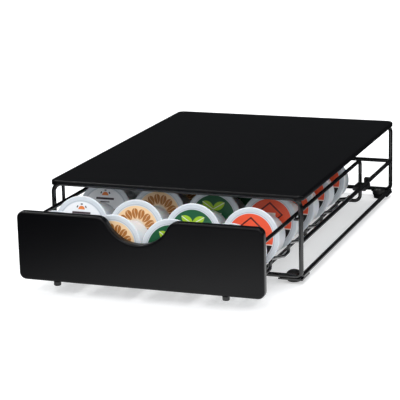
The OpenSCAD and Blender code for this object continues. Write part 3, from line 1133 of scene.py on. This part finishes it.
@dataclass
class Drawer(Assembly):
    """The sliding drawer: panel, bumpers, rails, hoop, floor wires, wave wires and glides.

    Attributes:
        sheet_thick: Thickness of the panel's sheet.
        sheet_bend: Outer radius of the panel's turned-back edges.
        panel_corner: Corner radius of the panel.
        scoop_w: Width of the finger scoop.
        scoop_depth: Depth of the finger scoop.
        scoop_r: Radius of the scoop's hollow.
        stem_d: Diameter of a bumper's stem.
        head_ease: Radius at the edge of a bumper's head.
        rim_ease: Chamfer at a bumper's other edges.
        glide_ease: Width of the bevel on the glides' edges.
        rail_bend: Bend radius of the top rails.
        hoop_bend: Bend radius of the rear hoop.
        wave_bend: Bend radius of the wave wires.
        first_riser: Distance from the panel's face to the first riser.
        trough_len: Length of a wave's flat trough.
        rows: Number of rows of seats.
    """

    body: str = "drawer"
    sheet_thick: float = 0.9 * MM
    sheet_bend: float = 1.9 * MM
    panel_corner: float = 6 * MM
    scoop_w: float = 72 * MM
    scoop_depth: float = 21.5 * MM
    scoop_r: float = 30 * MM
    stem_d: float = 3 * MM
    head_ease: float = 1.1 * MM
    rim_ease: float = 0.3 * MM
    glide_ease: float = 0.35 * MM
    rail_bend: float = 5 * MM
    hoop_bend: float = 6 * MM
    wave_bend: float = 2.5 * MM
    first_riser: float = 8.3 * MM
    trough_len: float = 14 * MM
    rows: int = 6

    def build(self, nodes: dict[str, bpy.types.Object]) -> None:
        """Makes every piece of the drawer.

        Args:
            nodes: The frame's own nodes, by name.
        """
        self.panel()
        for side in Side:
            self.bumper(side)
            self.top_rail(side)
            self.add_straight_wire(f"floor_side_wire_{side.value}", Y_AXIS)
            glide = f"rear_glide_{side.value}"
            self.seat(eased_copy(f"{glide}_block", nodes[glide], self.glide_ease, NYLON), glide)
        self.hoop()
        for i in range(self.rows + 1):
            self.add_straight_wire(f"floor_crosswire_{i + 1}", X_AXIS)
        for name in sorted(name for name in nodes if name.startswith("wave_wire_")):
            self.wave(name)

    def panel(self) -> None:
        """Presses the front panel, whose scoop is a hollow between two shoulders.

        The shoulder's radius is (half^2 + depth^2) / (2 depth) less the hollow's, so that both
        circles meet on one tangent, at the slant atan2(height between centres, half).
        """
        box = Box("front_panel")
        r, half, deep = self.panel_corner, self.scoop_w / 2, self.scoop_depth
        w, h = box.size[0] / 2 - r, box.size[2] / 2 - r
        shoulder_r = (half * half + deep * deep) / (2 * deep) - self.scoop_r
        shoulder_y = box.size[2] / 2 - shoulder_r
        hollow_y = box.size[2] / 2 + self.scoop_r - deep
        slant = math.degrees(math.atan2(hollow_y - shoulder_y, half))
        outline = Outline([
            Arc((-w, -h), r, 180, 270),
            Arc((w, -h), r, 270, 360),
            Arc((w, h), r, 0, 90),
            Arc((half, shoulder_y), shoulder_r, 90, 180 - slant, steps=12),
            Arc((0, hollow_y), self.scoop_r, -slant, slant - 180, hollow=True, steps=36),
            Arc((-half, shoulder_y), shoulder_r, slant, 90, steps=12),
            Arc((-w, h), r, 90, 180)])
        origin = np.array([box.middle[0], box.low[1], box.middle[2]])
        skin = pressed_sheet(outline, self.sheet_thick, self.sheet_bend, box.size[1], origin,
                             (X_AXIS, Z_AXIS, Y_AXIS))
        self.add("panel_sheet", "front_panel", [skin], SHEET_COAT)

    def bumper(self, side: Side) -> None:
        """Turns a stop bumper: a rounded head, a stem through the sheet and a catch above it.

        Args:
            side: Side of the panel that it sits at.
        """
        node = f"stop_bumper_{side.value}"
        box, sheet = Box(node), Box("front_panel").low[2]
        low, high, ease = box.low[2], box.high[2], self.rim_ease
        head_r, stem_r = box.size[0] / 2, self.stem_d / 2
        catch_r = stem_r + self.sheet_thick / 2
        under, over = sheet - PUSH_GAP, sheet + self.sheet_thick + PUSH_GAP
        profile = np.concatenate([
            [[0.5 * MM, low]],
            rounded(low, 1, self.head_ease, 6) + [head_r, 0],
            [[head_r, under - ease], [head_r - ease, under], [stem_r, under], [stem_r, over],
             [catch_r, over], [catch_r, high - ease], [catch_r - ease, high], [0.4 * MM, high]]])
        centre = box.middle * [1, 1, 0]
        self.add(f"{node}_mould", node, [turned(profile, centre, Z_AXIS, BUMPER_SIDES)], RUBBER)

    def top_rail(self, side: Side) -> None:
        """Bends a top rail down at the rear, to where it meets the hoop.

        Args:
            side: Side of the drawer that it runs along.
        """
        node = f"drawer_top_rail_{side.value}"
        box = Box(node)
        radius = box.size[0] / 2
        x, y, z = box.middle[0], box.high[1] - radius, box.high[2] - radius
        corners = [[x, box.low[1], z], [x, y, z], [x, y, box.low[2]]]
        self.add_wire(node, corners, (0, self.rail_bend, 0), radius, X_AXIS)

    def hoop(self) -> None:
        """Bends the rear hoop, which lies across the drawer and turns up at both ends."""
        node = "drawer_rear_hoop"
        box = Box(node)
        radius, top = box.size[1] / 2, box.high[2]
        y, z = box.middle[1], box.low[2] + radius
        left, right = box.low[0] + radius, box.high[0] - radius
        corners = [[left, y, top], [left, y, z], [right, y, z], [right, y, top]]
        self.add_wire(node, corners, (0, self.hoop_bend, self.hoop_bend, 0), radius, Y_AXIS)

    def wave(self, node: str) -> None:
        """Bends a wave wire: at each row it rises straight up, then falls back on a ramp.

        The crest's corner lies above the crest by bend (tan(ramp) + 1 / cos(ramp) - 1), so that
        the bent wire just reaches the crest's height.

        Args:
            node: Name of the wire's node.
        """
        box = Box(node)
        radius = box.size[0] / 2
        x, low, crest = box.middle[0], box.low[2] + radius, box.high[2] - radius
        pitch = row_pitch()
        ramp_len = pitch - self.trough_len
        ramp = math.atan((crest - low) / ramp_len)
        peak = crest + self.wave_bend * (math.tan(ramp) + 1 / math.cos(ramp) - 1)
        first = Box("front_panel").low[1] + self.first_riser
        riser = first + pitch * np.arange(self.rows)[:, None]
        y = (riser + [0, 0, ramp_len]).ravel()
        z = np.tile([low, peak, low], self.rows)
        seats = np.stack([np.full(len(y), x), y, z], axis=-1)
        corners = np.concatenate([[[x, box.low[1], low]], seats, [[x, box.high[1], low]]])
        self.add_wire(node, corners, [self.wave_bend] * len(corners), radius, X_AXIS)


@dataclass
class Pods(Assembly):
    """The coffee pods, by column: turned plastic cups and their printed lids.

    Attributes:
        tilt: How far the lids lean back, in degrees.
        rim_r: Radius of a cup's rim.
        rim_thick: Thickness of the rim.
        rim_ease: Radius at the rim's edges.
        cup_r: Radius just behind the rim.
        base_r: Radius at the base.
        base_depth: Depth of the hollow under the base.
        length: Length of a pod, from the rim's face to the base.
        wall: Thickness of the cup's wall.
        collar: Distance from the rim's face to the end of the collar.
        collar_step: Height of the step behind the collar.
        foot: Radius round the base.
        lid_r: Radius of a lid.
        lid_thick: Thickness of a lid.
        lid_gap: Gap between a lid and its rim.
        lid_swell: How far a lid's face swells.
    """

    body: str = "drawer"
    tilt: float = 11.3
    rim_r: float = 25.5 * MM
    rim_thick: float = 1.2 * MM
    rim_ease: float = 0.45 * MM
    cup_r: float = 22.8 * MM
    base_r: float = 18.5 * MM
    base_depth: float = 0.7 * MM
    length: float = 43 * MM
    wall: float = 1 * MM
    collar: float = 5.2 * MM
    collar_step: float = 0.45 * MM
    foot: float = 2.2 * MM
    lid_r: float = 24.8 * MM
    lid_thick: float = 0.3 * MM
    lid_gap: float = 0.02 * MM
    lid_swell: float = 0.35 * MM

    def build(self) -> None:
        """Makes the cups and lids of each column."""
        cup, lid = self.cup_profile(), self.lid_profile()
        lean = math.radians(self.tilt)
        axis = np.array([0, math.cos(lean), -math.sin(lean)])
        for column, foil in LIDS.items():
            cups, lids = f"pod_cups_{column}", f"pod_lids_{column}"
            seats = self.seats(lids)
            self.add(f"{cups}_moulded", cups, [turned(cup, point, axis) for point in seats],
                     CUP_PLASTIC)
            self.add(f"{lids}_foil", lids, [turned(lid, point, axis) for point in seats], foil)

    def seats(self, node: str) -> np.ndarray:
        """Finds the middle of each rim's face in a column, from the box of its lids.

        Args:
            node: The column's node of lids.

        Returns:
            One point for each pod.
        """
        box = Box(node)
        lean = math.radians(self.tilt)
        slope = self.lid_r * math.sin(lean)
        first = box.low[1] + slope + self.lid_thick * math.cos(lean)
        last = box.high[1] - slope
        count = 1 + round((last - first) / row_pitch())
        x, z = box.middle[0], box.middle[2] - self.lid_thick * math.sin(lean) / 2
        y = np.linspace(first, last, count)
        return np.stack([np.full(count, x), y, np.full(count, z)], axis=-1)

    def wall_at(self, height: float, less: float = 0.0) -> list[float]:
        """Gives the wall's outer radius at a distance from the rim's face, and that distance."""
        slope = (self.cup_r - self.base_r) / (self.length - self.rim_thick)
        return [self.cup_r - slope * (height - self.rim_thick) - less, height]

    def cup_profile(self) -> np.ndarray:
        """Draws a cup from the middle of its inside, round its rim, to the middle of its base.

        Outside, the wall follows the straight line from the rim to the base, less a small step
        behind the collar, and ends in a quarter round.

        Returns:
            Radius and height of each row.
        """
        wall, foot, end = self.wall, self.foot, self.length
        floor = end - 2 * wall
        inside = [[1 * MM, floor], [self.base_r - 3 * wall, floor],
                  self.wall_at(floor - 2 * MM, 2 * wall), self.wall_at(self.collar, 2 * wall),
                  [self.cup_r - 2 * wall, 0.5 * MM], [self.cup_r - 1.5 * wall, 0]]
        front = rounded(0, 1, self.rim_ease, 6) + [self.rim_r, 0]
        back = rounded(self.rim_thick, -1, self.rim_ease, 6)[::-1] + [self.rim_r, 0]
        outside = [[self.cup_r + 0.25 * MM, self.rim_thick],
                   self.wall_at(self.rim_thick + 0.3 * MM), self.wall_at(self.collar),
                   self.wall_at(self.collar + 0.35 * MM, self.collar_step)]
        last = self.wall_at(end - foot, self.collar_step)
        w = np.linspace(0, QUARTER, 6)
        base = np.stack([last[0] - foot * (1 - np.cos(w)), last[1] + foot * np.sin(w)], axis=-1)
        stand = base[-1][0]
        hollow = end - self.base_depth
        under = [[stand - 0.6 * MM, end], [stand - 1.2 * MM, hollow], [1 * MM, hollow]]
        return np.concatenate([inside, front, back, outside, base, under])

    def lid_profile(self) -> np.ndarray:
        """Draws a lid: a flat back, a round edge, a sealing ring and a face that swells a little.

        The face's rows are (r t, -0.55 thick - swell (1 - t^2)), for t from 1 down to nearly 0.

        Returns:
            Radius and height of each row.
        """
        r, thick, back = self.lid_r, self.lid_thick, -self.lid_gap
        ring, groove, face_r = 22.2 * MM, 21.9 * MM, 21.4 * MM
        t = np.linspace(1, 0.03, 10)
        face = np.stack([face_r * t, -0.55 * thick - self.lid_swell * (1 - t ** 2)], axis=-1)
        edge = [[1 * MM, back], [r - 0.1 * MM, back], [r, -thick / 2], [r - 0.12 * MM, -thick]]
        return np.concatenate([edge, [[ring, -thick], [groove, -0.6 * thick]], face])


# Studio


@dataclass
class Studio:
    """The pale floor, the lamps and the camera.

    Attributes:
        azimuth: Angle of the camera from straight ahead, towards +X, in degrees.
        elevation: Angle of the camera above the level, in degrees.
        roll: Turn of the camera about its own axis, in degrees.
        distance: Distance from the camera to the point that it looks at.
        aim: That point.
        shift: How far the view is moved across and up, at the aim.
        focal: Focal length in picture widths.
        floor_reach: Distance from the middle of the floor to its edges.
        floor_glow: Glow of the floor to the eye, on top of the lamps' light.
        sheet: Middle of the white sheet that gloss sees on the floor.
        sheet_r: Distance from there at which it is half faded.
        sheet_fade: Width of the fade.
        sheet_glow: Glow of that sheet.
        room_light: Strength of the room's even light.
        room_gloss: Strength at which gloss sees it.
    """

    azimuth: float = 20.59
    elevation: float = 14.31
    roll: float = -1.47
    distance: float = 1541.98 * MM
    aim: tuple[float, float, float] = (0.0, 47.85 * MM, 47.0 * MM)
    shift: tuple[float, float] = (34.97 * MM, 20.68 * MM)
    focal: float = 1610.28 / PICTURE
    floor_reach: float = 30.0
    floor_glow: float = 0.44
    sheet: tuple[float, float] = (100 * MM, -150 * MM)
    sheet_r: float = 225 * MM
    sheet_fade: float = 210 * MM
    sheet_glow: float = 0.6
    room_light: float = 0.42
    room_gloss: float = 0.04

    def build(self) -> None:
        """Sets up the whole studio."""
        self.camera()
        self.floor()
        self.world()
        self.sun("top_lamp", tilt=24, turn=215, strength=1.2, spread=75)
        self.sun("key_lamp", tilt=34, turn=300, strength=0.6, spread=12)
        self.sun("front_lamp", tilt=58, turn=165, strength=0.95, spread=60)
        self.sun("glint_lamp", tilt=16, turn=20, strength=0.6, spread=12)
        self.sun("side_lamp", tilt=58, turn=80, strength=0.4, spread=25)
        bpy.context.scene.view_settings.view_transform = "Standard"

    def camera(self) -> None:
        """Places the camera: right, up and back are the rows of its turn."""
        a, e, r = (math.radians(angle) for angle in (self.azimuth, self.elevation, self.roll))
        back = np.array([math.sin(a) * math.cos(e), -math.cos(a) * math.cos(e), math.sin(e)])
        right = np.array([math.cos(a), math.sin(a), 0])
        up = np.cross(back, right)
        spin = np.array([[math.cos(r), math.sin(r), 0], [-math.sin(r), math.cos(r), 0], Z_AXIS])
        turn = spin @ np.array([right, up, back])
        move = turn.T @ np.array([-self.shift[0], -self.shift[1], self.distance])
        data = bpy.data.cameras.new("camera")
        data.sensor_width = SENSOR
        data.lens = SENSOR * self.focal
        data.clip_start = 0.05
        data.clip_end = 200
        camera = hang("camera", data, turn.T, np.array(self.aim) + move)
        bpy.context.scene.camera = camera

    def floor(self) -> None:
        """Lays a wide pale floor, which shows white to the eye.

        Gloss sees it as a white sheet under the object that fades out towards the dark studio:
        its share falls from 1 to 0 in a straight line over the fade.
        """
        far = self.floor_reach
        mesh = bpy.data.meshes.new("floor")
        corners = [(-far, -far, 0), (far, -far, 0), (far, far, 0), (-far, far, 0)]
        mesh.from_pydata(corners, [], [(0, 1, 2, 3)])
        material = bpy.data.materials.new("floor")
        wiring = Wiring(material)
        camera, glossy, through = (wiring.node("ShaderNodeLightPath", output=f"Is {kind} Ray")
                                   for kind in ("Camera", "Glossy", "Transmission"))
        x, y, _ = wiring.parts(wiring.place())
        away = length(x - self.sheet[0], y - self.sheet[1])
        sheet = away.below(self.sheet_r, self.sheet_fade)
        grey = wiring.mix(glossy * (1 - sheet), (0.8, 0.8, 0.8), (0.02, 0.02, 0.022))
        paint = wiring.node("ShaderNodeBsdfDiffuse", inputs={"Color": grey})
        seen = (camera + through) * self.floor_glow + glossy * sheet * self.sheet_glow
        glow = wiring.node("ShaderNodeEmission", inputs={
            "Color": (1, 1, 1, 1), "Strength": seen.math("MINIMUM", 1.0)})
        both = wiring.node("ShaderNodeAddShader", inputs={0: paint, 1: glow})
        wiring.node("ShaderNodeOutputMaterial", inputs={"Surface": both})
        mesh.materials.append(material)
        floor = bpy.data.objects.new("floor", mesh)
        bpy.context.scene.collection.objects.link(floor)

    def world(self) -> None:
        """Fills the room with a faint even light, which gloss sees darker still."""
        world = bpy.data.worlds.new("room")
        wiring = Wiring(world)
        glossy = wiring.node("ShaderNodeLightPath", output="Is Glossy Ray")
        strength = self.room_light - glossy * (self.room_light - self.room_gloss)
        inputs = {"Color": (0.9, 0.95, 1, 1), "Strength": strength}
        light = wiring.node("ShaderNodeBackground", inputs=inputs)
        wiring.node("ShaderNodeOutputWorld", inputs={"Surface": light})
        bpy.context.scene.world = world

    @staticmethod
    def sun(name: str, tilt: float, turn: float, strength: float, spread: float) -> None:
        """Hangs a broad soft lamp.

        Args:
            name: Name of the lamp.
            tilt: Angle from straight overhead, in degrees.
            turn: Compass angle that it shines from: 0 is the rear, 90 the right, 180 the front.
            strength: Light on a surface that faces it.
            spread: Width of the lamp, seen from the object, in degrees.
        """
        data = bpy.data.lights.new(name, "SUN")
        data.energy = strength
        data.angle = math.radians(spread)
        t, h = math.radians(tilt), math.radians(turn)
        source = np.array([math.sin(t) * math.sin(h), math.sin(t) * math.cos(h), math.cos(t)])
        aside = unit(np.cross(Z_AXIS, source))
        axes = np.stack([aside, np.cross(source, aside), source], axis=1)
        hang(name, data, axes, np.zeros(3))


def hang(name: str, data: bpy.types.ID, axes: np.ndarray, place: np.ndarray) -> bpy.types.Object:
    """Puts a lamp or a camera into the scene.

    Args:
        name: Name of the new object.
        data: Its lamp or camera.
        axes: Its own X, Y and Z directions, as columns.
        place: Its place.

    Returns:
        The new object.
    """
    new = bpy.data.objects.new(name, data)
    matrix = np.eye(4)
    matrix[:3, :3] = axes
    matrix[:3, 3] = place
    new.matrix_world = Matrix(matrix.tolist())
    bpy.context.scene.collection.objects.link(new)
    return new


def main() -> None:
    """Loads the frame, sets up the studio and dresses the frame, the drawer and the pods."""
    logging.basicConfig(level=logging.INFO, format="%(message)s")
    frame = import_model()
    Studio().build()
    WireFrame().build(frame["nodes"])
    Drawer().build(frame["nodes"])
    Pods().build()
    bpy.context.view_layer.update()


if __name__ == "__main__":
    main()
